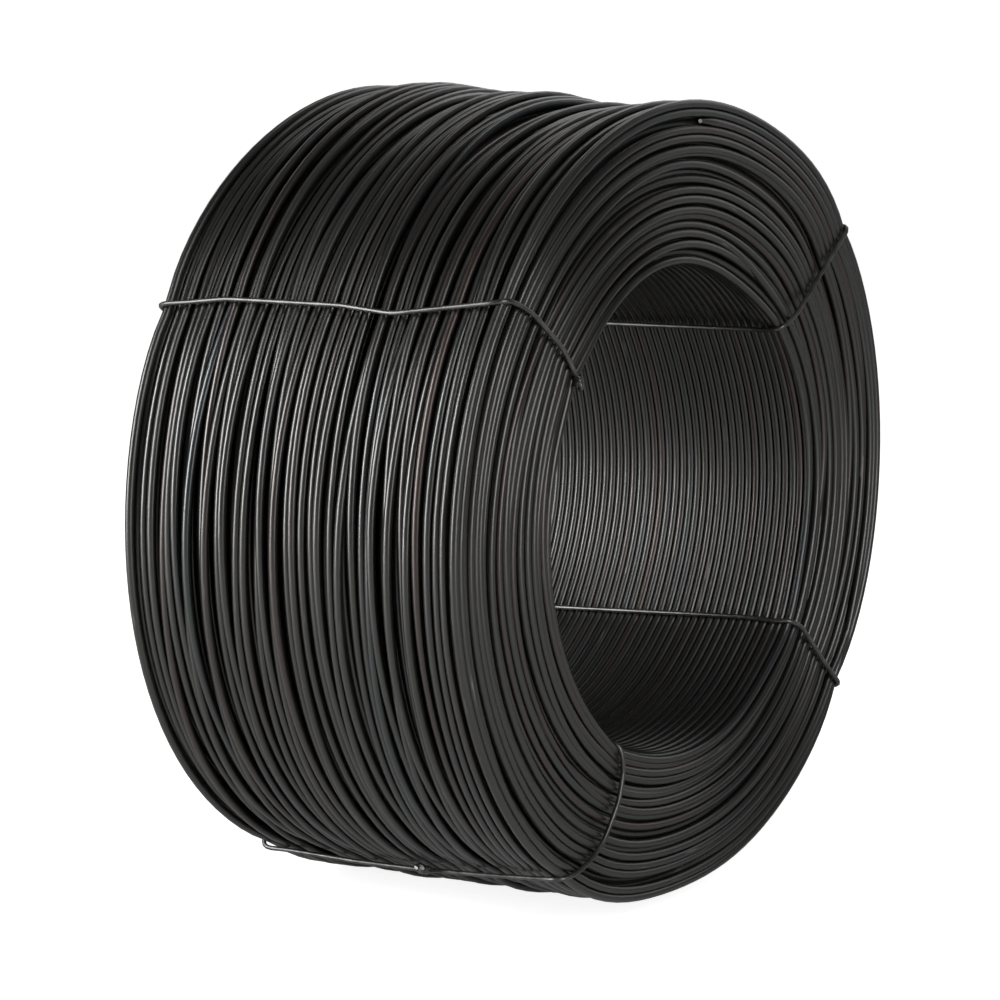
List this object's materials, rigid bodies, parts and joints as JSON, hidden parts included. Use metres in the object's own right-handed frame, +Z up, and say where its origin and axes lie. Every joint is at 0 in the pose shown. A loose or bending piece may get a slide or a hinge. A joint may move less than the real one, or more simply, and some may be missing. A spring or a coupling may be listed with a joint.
{
  "type": "coil of black annealed wire",
  "caption": "Coil of black annealed steel wire, layer-wound without a spool and held by tie wires, standing on its rim.",
  "frame": {"origin": "on the floor under the middle of the coil", "axes": "+Y along the coil's axis, away from the end that the picture shows; +Z up"},
  "size_m": [0.3296, 0.162, 0.3296],
  "materials": {
    "black_wire": "black annealed, satin oxide film",
    "tie_wire": "black annealed, bright where it is cut"
  },
  "bodies": {
    "root": {"wire_coil": "black_wire", "tie_upper_left": "tie_wire", "tie_upper_right": "tie_wire", "tie_lower_right": "tie_wire", "tie_lower_left": "tie_wire"}
  },
  "joints": []
}
